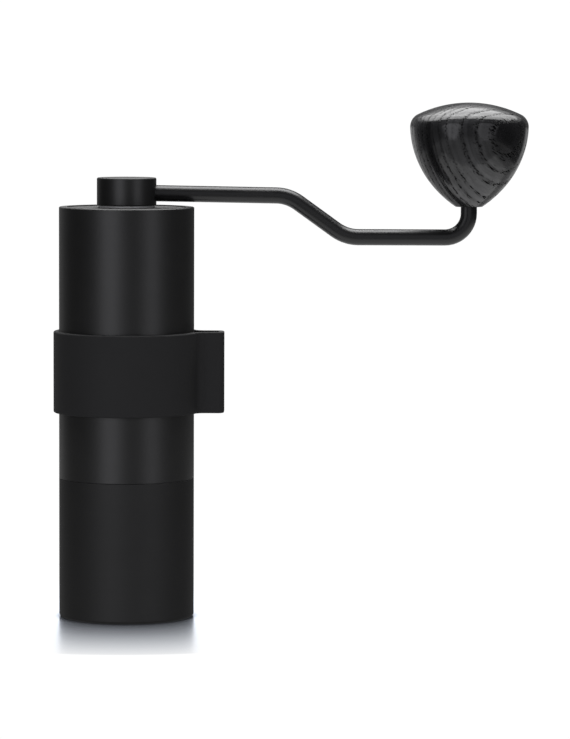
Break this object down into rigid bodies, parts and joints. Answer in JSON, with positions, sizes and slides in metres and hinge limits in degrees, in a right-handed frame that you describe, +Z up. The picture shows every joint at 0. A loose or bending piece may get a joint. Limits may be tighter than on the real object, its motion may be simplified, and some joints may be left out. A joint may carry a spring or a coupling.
{
  "type": "hand crank coffee grinder",
  "caption": "Slim cylindrical hand grinder for coffee with conical burrs, a magnetic catch cup, a lift-off lid with a bent crank arm and turning knob, and a band that stows the arm.",
  "frame": {"origin": "centre of the flat foot of the catch cup, on the burr shaft's axis", "axes": "+Z up the burr shaft, +X along the crank arm towards the knob at rest"},
  "size_m": [0.1752, 0.054, 0.1909],
  "materials": {
    "black_anodised": "matte black anodised, fine turned lines",
    "coated_rod": "satin black coating",
    "silicone": "matte",
    "stained_wood": "black stained open-pore wood, satin",
    "burr_steel": "ground, satin",
    "shaft_steel": "turned, bright",
    "bearing_steel": "polished",
    "spring_steel": "satin",
    "bare_aluminium": "machined",
    "magnet_nickel": "nickel plated",
    "nylon": "matte"
  },
  "bodies": {
    "cup": {"catch_cup": "black_anodised", "cup_magnet_1": "magnet_nickel", "cup_magnet_2": "magnet_nickel", "cup_magnet_3": "magnet_nickel", "cup_magnet_4": "magnet_nickel", "cup_magnet_5": "magnet_nickel", "cup_magnet_6": "magnet_nickel"},
    "housing": {"body_tube": "black_anodised", "storage_band": "silicone", "lower_bracket": "bare_aluminium", "upper_bracket": "bare_aluminium", "bracket_clip": "spring_steel", "ring_burr": "burr_steel", "lower_outer_race": "bearing_steel", "upper_outer_race": "bearing_steel", "lower_bearing_shields": "bearing_steel", "upper_bearing_shields": "bearing_steel", "bracket_screw_1": "spring_steel", "bracket_screw_2": "spring_steel", "bracket_screw_3": "spring_steel", "body_magnet_1": "magnet_nickel", "body_magnet_2": "magnet_nickel", "body_magnet_3": "magnet_nickel", "body_magnet_4": "magnet_nickel", "body_magnet_5": "magnet_nickel", "body_magnet_6": "magnet_nickel"},
    "lid": {"lid_disc": "black_anodised"},
    "crank": {"crank_hub": "black_anodised", "lid_retainer": "black_anodised", "hub_nut": "black_anodised", "arm_grub_screw": "spring_steel", "crank_arm": "coated_rod", "knob_snap_ring": "spring_steel", "knob_washer": "spring_steel"},
    "knob": {"knob_body": "stained_wood", "knob_bush": "nylon"},
    "shaft": {"drive_shaft": "shaft_steel", "shaft_snap_ring": "spring_steel", "spring_seat": "shaft_steel", "burr_spring": "spring_steel", "lower_inner_race": "bearing_steel", "upper_inner_race": "bearing_steel"},
    "lower_cage": {"lower_balls": "bearing_steel", "lower_ball_cage": "nylon"},
    "upper_cage": {"upper_balls": "bearing_steel", "upper_ball_cage": "nylon"},
    "burr": {"inner_burr": "burr_steel"},
    "dial": {"adjusting_dial": "bare_aluminium", "detent_ball_1": "bearing_steel", "detent_ball_2": "bearing_steel", "detent_spring_1": "spring_steel", "detent_spring_2": "spring_steel"}
  },
  "joints": [
    {"name": "body_lift", "type": "slide", "parent": "cup", "child": "housing", "axis": [0, 0, 1], "range_m": [0, 0.06]},
    {"name": "lid_lift", "type": "slide", "parent": "housing", "child": "lid", "axis": [0, 0, 1], "range_m": [0, 0.06]},
    {"name": "crank_turn", "type": "hinge", "parent": "lid", "child": "crank", "pos_m": [0, 0, 0.1572], "axis": [0, 0, 1], "continuous": true},
    {"name": "knob_spin", "type": "hinge", "parent": "crank", "child": "knob", "pos_m": [0.1264, 0, 0.1654], "axis": [0, 0, 1], "continuous": true},
    {"name": "shaft_turn", "type": "hinge", "parent": "housing", "child": "shaft", "pos_m": [0, 0, 0.1], "axis": [0, 0, 1], "continuous": true},
    {"name": "lower_cage_turn", "type": "hinge", "parent": "housing", "child": "lower_cage", "pos_m": [0, 0, 0.0821], "axis": [0, 0, 1], "continuous": true},
    {"name": "upper_cage_turn", "type": "hinge", "parent": "housing", "child": "upper_cage", "pos_m": [0, 0, 0.1285], "axis": [0, 0, 1], "continuous": true},
    {"name": "burr_travel", "type": "slide", "parent": "shaft", "child": "burr", "axis": [0, 0, 1], "range_m": [-0.0012, 0.00055], "deforming": ["burr_spring"]},
    {"name": "dial_turn", "type": "hinge", "parent": "burr", "child": "dial", "pos_m": [0, 0, 0.0495], "axis": [0, 0, 1], "range_deg": [-577, 265]}
  ],
  "couplings": [
    {"joint": "shaft_turn", "follows": "crank_turn", "ratio": 1},
    {"joint": "lower_cage_turn", "follows": "crank_turn", "ratio": 0.403},
    {"joint": "upper_cage_turn", "follows": "crank_turn", "ratio": 0.403},
    {"joint": "dial_turn", "follows": "burr_travel", "rad_per_m": 8377.6}
  ]
}
